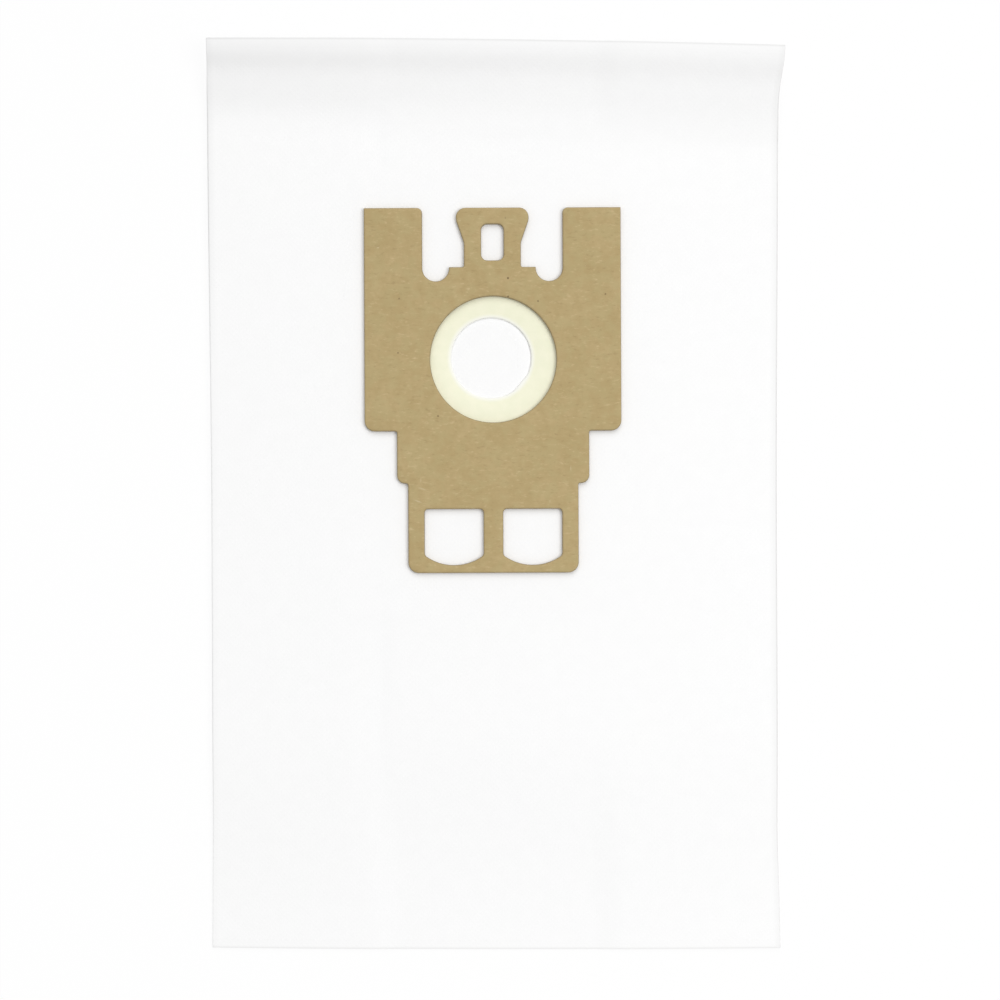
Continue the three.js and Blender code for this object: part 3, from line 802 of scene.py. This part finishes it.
def board_finish():
    """Brown recycled board: mottled pulp, short fibres lying mostly across the plate, a few dark
    specks and pale scuffs, and a greyer core that shows on the cut edges."""
    material = bpy.data.materials.new("brown_board")
    board = Shader(material)
    where = board.node("ShaderNodeTexCoord", {}, {}, "Object")
    pulp = board.noise(where, 90.0, 4.0, 0.6)
    blotches = board.noise(where, 330.0, 3.0, 0.6)
    tint = board.noise(where, 210.0, 2.0)
    fibres = board.noise(board.mapped(where, Scale=(330, 1050, 400)), 1.0, 2.0, 0.6)
    turned = board.mapped(where, Rotation=(0, 0, 1.3), Scale=(360, 1050, 400))
    strays = board.noise(turned, 1.0, 2.0, 0.6)
    colour = board.mix(pulp.ramp(0.3, 0.7), srgb(178, 157, 112), srgb(187, 166, 122))
    colour = board.mix(blotches.ramp(0.35, 0.68) * 0.6, colour, srgb(176, 155, 110))
    colour = board.mix(tint.ramp(0.4, 0.65) * 0.5, colour, srgb(182, 166, 121))
    colour = board.mix(fibres.ramp(0.58, 0.76) * 0.4, colour, srgb(208, 187, 145))
    colour = board.mix(fibres.ramp(0.4, 0.24) * 0.4, colour, srgb(155, 133, 92))
    colour = board.mix(strays.ramp(0.6, 0.78) * 0.45, colour, srgb(208, 188, 147))
    colour = board.mix(strays.ramp(0.4, 0.24) * 0.4, colour, srgb(157, 134, 94))
    hole_x, hole_y = (collar_place + origin[:2]) / 1000
    specks, scuffs = None, None
    for x, y, size, depth in specks_seen:
        spot = (hole_x + x / 1000, hole_y + y / 1000, collar_high / 1000)
        off = board.vector("DISTANCE", where, spot, "Value")
        dark = off.ramp(size / 1000 * 0.4, size / 1000 * 1.3, depth, 0.0)
        specks = dark if specks is None else specks.most(dark)
    colour = board.mix(specks, colour, srgb(92, 74, 50))
    for x, y, turn, length, width in scuffs_seen:
        stroke = board.node("ShaderNodeMapping", {"vector_type": "TEXTURE"}, {
            "Vector": where, "Location": (hole_x + x / 1000, hole_y + y / 1000, collar_high / 1000),
            "Rotation": (0, 0, turn), "Scale": (length / 2000, width / 2000, 1)})
        pale = board.vector("LENGTH", stroke, output="Value").ramp(0.2, 1.0, 0.6, 0.0)
        scuffs = pale if scuffs is None else scuffs.most(pale)
    colour = board.mix(scuffs * blotches.ramp(0.3, 0.6, 0.4, 1.0), colour, srgb(207, 192, 156))
    colour = board.mix(board.share("cut") * 0.75, colour, srgb(146, 131, 106))
    height = fibres * 0.35 + pulp * 0.5 + strays * 0.3
    board.surface(colour, 0.88, 0.25, height, 0.35, 0.00008)
    return material


collar_points, wall_faces, sheet_faces, cut_share = collar_mesh()
collar_plate = mesh_piece("board_collar", collar_points, [wall_faces, sheet_faces],
                          board_finish(), 40, cut=cut_share)
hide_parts("collar_plate")
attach(collar_plate, "root")


# ---- The table, lights and camera
# The bag lies on a white table under a bright even sky of light, with a soft lamp at its right and
# a broad window beyond its top, and the camera looks straight down at it. The table shows white
# and keeps a trace of the shadow. Here lengths are in metres.
table_half = 3
table_drop = 0.0003  # by which the table lies clear of the bag
table_glow = 0.9  # of the white that the table shows to the camera


def seen_directly(shader):
    """1 for rays from the camera, from gloss or through glass, and 0 for light passed on."""
    path = shader.node("ShaderNodeLightPath", {}, {}, "Is Camera Ray")
    return path.most(path.out("Is Glossy Ray")).most(path.out("Is Transmission Ray"))


table_finish = bpy.data.materials.new("white_table")
table_shader = Shader(table_finish)
painted = table_shader.node("ShaderNodeBsdfDiffuse", {}, {"Color": srgb(252, 252, 252)})
shining = table_shader.node("ShaderNodeEmission", {}, {"Color": (1, 1, 1, 1), "Strength": 1.0})
table_surface = table_shader.node("ShaderNodeMixShader", {}, {
    0: seen_directly(table_shader) * table_glow, 1: painted, 2: shining})
table_shader.node("ShaderNodeOutputMaterial", {}, {"Surface": table_surface})
table_mesh = bpy.data.meshes.new("table")
table_corners = [(x * table_half, y * table_half, -table_drop)
                 for x, y in ((-1, -1), (1, -1), (1, 1), (-1, 1))]
table_mesh.from_pydata(table_corners, [], [(0, 1, 2, 3)])
table_mesh.materials.append(table_finish)
table = bpy.data.objects.new("table", table_mesh)
bpy.context.scene.collection.objects.link(table)

world = bpy.data.worlds.new("studio")
bpy.context.scene.world = world
sky = Shader(world)
sky_strength = 0.505
sky_light = sky.node("ShaderNodeBackground", {}, {
    "Color": (1, 1, 1, 1), "Strength": seen_directly(sky) * (1 - sky_strength) + sky_strength})
sky.node("ShaderNodeOutputWorld", {}, {"Surface": sky_light})

lamp_place = Vector((1.3, 0.0, 2.15))
lamp_share = 0.28  # of the light on a level surface at the origin
lamp_data = bpy.data.lights.new("soft_lamp", "AREA")
lamp_data.size = 1.2
# A lamp of P watts lights a level surface at distance d as P cos(a) / (pi d)^2.
lamp_cosine = lamp_place.z / lamp_place.length
lamp_data.energy = lamp_share * (math.pi * lamp_place.length) ** 2 / lamp_cosine
lamp = bpy.data.objects.new("soft_lamp", lamp_data)
lamp.location = lamp_place
lamp.rotation_euler = lamp_place.to_track_quat("Z", "Y").to_euler()
bpy.context.scene.collection.objects.link(lamp)

window_direction = Vector((0.0, 0.6, 0.8))
window_share = 0.24
window_data = bpy.data.lights.new("window_light", "SUN")
window_data.angle = math.radians(50)
window_data.energy = window_share * math.pi / window_direction.z
window = bpy.data.objects.new("window_light", window_data)
window.rotation_euler = window_direction.to_track_quat("Z", "Y").to_euler()
bpy.context.scene.collection.objects.link(window)

# The camera looks straight down, from where the collar's outline in the photo puts it.
camera_height = 0.9003
camera_offset = (0.00283, -0.0594)  # from the middle of the collar's round hole
camera_turn = -0.238  # in degrees
camera_data = bpy.data.cameras.new("camera")
camera_data.sensor_width = 36
camera_data.lens = 75.89
camera = bpy.data.objects.new("camera", camera_data)
camera.location = (*((collar_place + origin[:2]) / 1000 + camera_offset), camera_height)
camera.rotation_euler = (0, 0, math.radians(camera_turn))
bpy.context.scene.collection.objects.link(camera)
bpy.context.scene.camera = camera
bpy.context.scene.view_settings.view_transform = "Standard"
